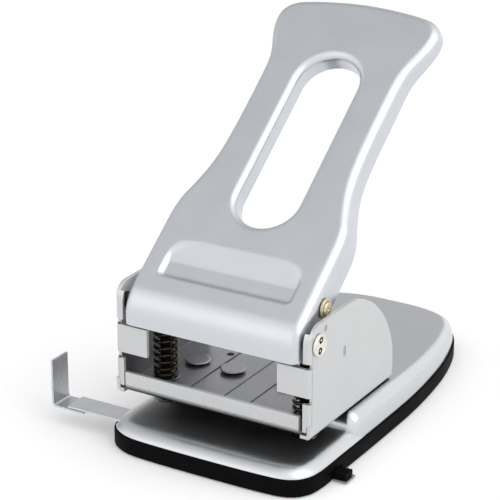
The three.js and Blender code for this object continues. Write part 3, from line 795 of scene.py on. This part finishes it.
# pivot head: pale face as painted highlight, zinc round the drilled marks, dark steel as painted shade in the marks and
# on the shaft
piece(shaft, "base", "pivot_shaft", PALE_ZINC_HIGHLIGHT, [
    (ZINC, lambda c, n: c.x > 56.05 and n.x > 0.5 and abs(math.hypot(c.y - PIVOT[0], c.z - PIVOT[1]) - 2.63) < 0.7 and abs(c.y - PIVOT[0]) < 1.2),
    (DARK_STEEL_PAINTED_SHADE, lambda c, n: c.x < 55 or (abs(n.x) < 0.5 and math.hypot(c.y - PIVOT[0], c.z - PIVOT[1]) < 5) or (n.x > 0.5 and c.x < 56.0))])
sleeve = lathe("pivot_sleeve_tube", [(4.3, -46.9), (5.5, -46.9), (5.8, -46.6), (5.8, 46.6), (5.5, 46.9), (4.3, 46.9)], PIVOT, "X")
shade(sleeve, 35)
piece(sleeve, "lever_body", "pivot_sleeve", STEEL)
o = lathe("pusher_rod_turned", [(0, -49.2), (3.1, -49.2), (3.5, -48.8), (3.5, 50.9), (3.0, 51.4), (0.9, 51.4), (0.6, 51.1), (0, 51.1)], ROD, "X")
shade(o, 35)
piece(o, "lever_body", "pusher_rod", ZINC)
for side, x0, x1 in (("inner", 46.2, 46.9), ("outer", 49.3, 50.6)):
    o = lathe(f"rod_clip_ring_{side}", [(3.8, x0), (4.7, x0), (5, x0 + 0.2), (5, x1 - 0.25), (4.7, x1), (3.8, x1)], ROD, "X")
    shade(o, 35)
    piece(o, "lever_body", f"rod_clip_{side}", ZINC)

for side, x in (("left", -40.0), ("right", 40.0)):
    c = (x, PIN_Y)
    o = lathe(f"pin_{side}", [(0, 23.4), (3, 23.4), (3, 74.6), (5.5, 74.6), (5.9, 75.0), (5.9, 77.0), (5.3, 77.6), (0, 77.6)], c, "Z", 48)
    cut(o, prism("vee", [(14, 22), (30, 22), (30, 23), (22, 25.4), (14, 23)], x - 8, x + 8, "X"))
    shade(o, 35)
    # painted shade: the pin is dark where it stands in the spring's shade
    piece(o, f"pin_{side}", f"punch_pin_{side}", DARK_STEEL_PAINTED_SHADE)
    o = lathe(f"seat_{side}", [(3.3, 72.7), (6.1, 72.7), (6.4, 73.0), (6.4, 73.8), (6.1, 74.1), (3.3, 74.1)], c, "Z")
    shade(o, 35)
    piece(o, f"pin_{side}", f"spring_seat_{side}", STEEL)
    o = lathe(f"guide_bush_{side}", [(3.3, 23), (4.7, 23), (4.7, 25.3), (6.5, 25.3), (6.8, 25.6), (6.8, 26.1), (6.5, 26.3), (3.3, 26.3)], c, "Z")
    shade(o, 35)
    # painted shade on the bush's lower faces
    piece(o, "base", f"pin_guide_{side}", STEEL, [(UNDER_PAINTED_SHADE, lambda c, n: c.z < 25.2)])
    o = lathe(f"die_bush_{side}", [(3.3, 8.9), (6.8, 8.9), (6.8, 11.9), (6, 11.9), (6, 13.6), (5.8, 13.8), (3.5, 13.8), (3.3, 13.6)], c, "Z")
    shade(o, 35)
    piece(o, "base", f"die_{side}", STEEL)
    # closed end coils, open coils between
    wire, r, turns, per, seg = 0.95, 5.55, 12.5, 40, 12
    n = int(turns * per)
    t = np.linspace(0, turns, n + 1)
    lo, hi = SPRING_LO + wire, SPRING_HI - wire
    pitch = np.where(t < 0.9, 1.85, np.where(t > turns - 0.9, 1.85, 0.0))
    open_pitch = (hi - lo - 1.85 * 1.8) / (turns - 1.8)
    w0 = np.clip((t - 0.7) / 0.4, 0, 1) * np.clip((turns - 0.7 - t) / 0.4, 0, 1)
    rate = 1.95 + (open_pitch - 1.95) * w0
    z = np.concatenate([[0], np.cumsum((rate[1:] + rate[:-1]) / 2 * np.diff(t))])
    z = lo + z * (hi - lo) / z[-1]
    a = 2 * math.pi * t + (0.6 if x > 0 else 2.1)
    vs, fs = [], []
    for i in range(n + 1):
        ca, sa = math.cos(a[i]), math.sin(a[i])
        for k in range(seg):
            b = 2 * math.pi * k / seg
            vs.append((x + (r + wire * math.cos(b)) * ca, PIN_Y + (r + wire * math.cos(b)) * sa, z[i] + wire * math.sin(b)))
    for i in range(n):
        for k in range(seg):
            fs.append((i * seg + k, i * seg + (k + 1) % seg, (i + 1) * seg + (k + 1) % seg, (i + 1) * seg + k))
    fs += [tuple(range(seg)), tuple(range(n * seg, n * seg + seg))]
    o = build(f"coil_{side}", vs, fs)
    o.data.polygons.foreach_set("use_smooth", [True] * len(o.data.polygons))
    piece(o, "base", f"spring_{side}", SPRING)
    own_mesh(o)

# ---------------------------------------------------------------- paper guide
o = block(-79.5, 22, -8.5, 4.5, 10.6, 11.8, "guide_strip_rolled")
bevel(o, 0.25, 2)
shade(o)
piece(o, "guide", "guide_strip", GUIDE)
prof = [(-70, 10.3), (-70, 9.3)] + arc(-86.8, 11.7, 2.4, 270, 180, 6) + [(-89.2, 34.5), (-88.0, 34.5)] + arc(-86.6, 11.7, 1.4, 180, 270, 5)
o = prism("guide_stop_bent", prof, -8.5, 4.5, "Y")
bevel(o, 0.2, 2, 50)
shade(o)
# painted shade: the upright stop is darker than the strip
piece(o, "guide", "guide_stop", STOP_PAINTED_SHADE)
o = block(-36, -8, -9.9, 5.9, 9.3, 11.9, "guide_channel_folded")
cut(o, block(-37, -7, -8.8, 4.8, 10.3, 13.8))
bevel(o, 0.15, 1)
shade(o)
piece(o, "base", "guide_channel", STEEL)
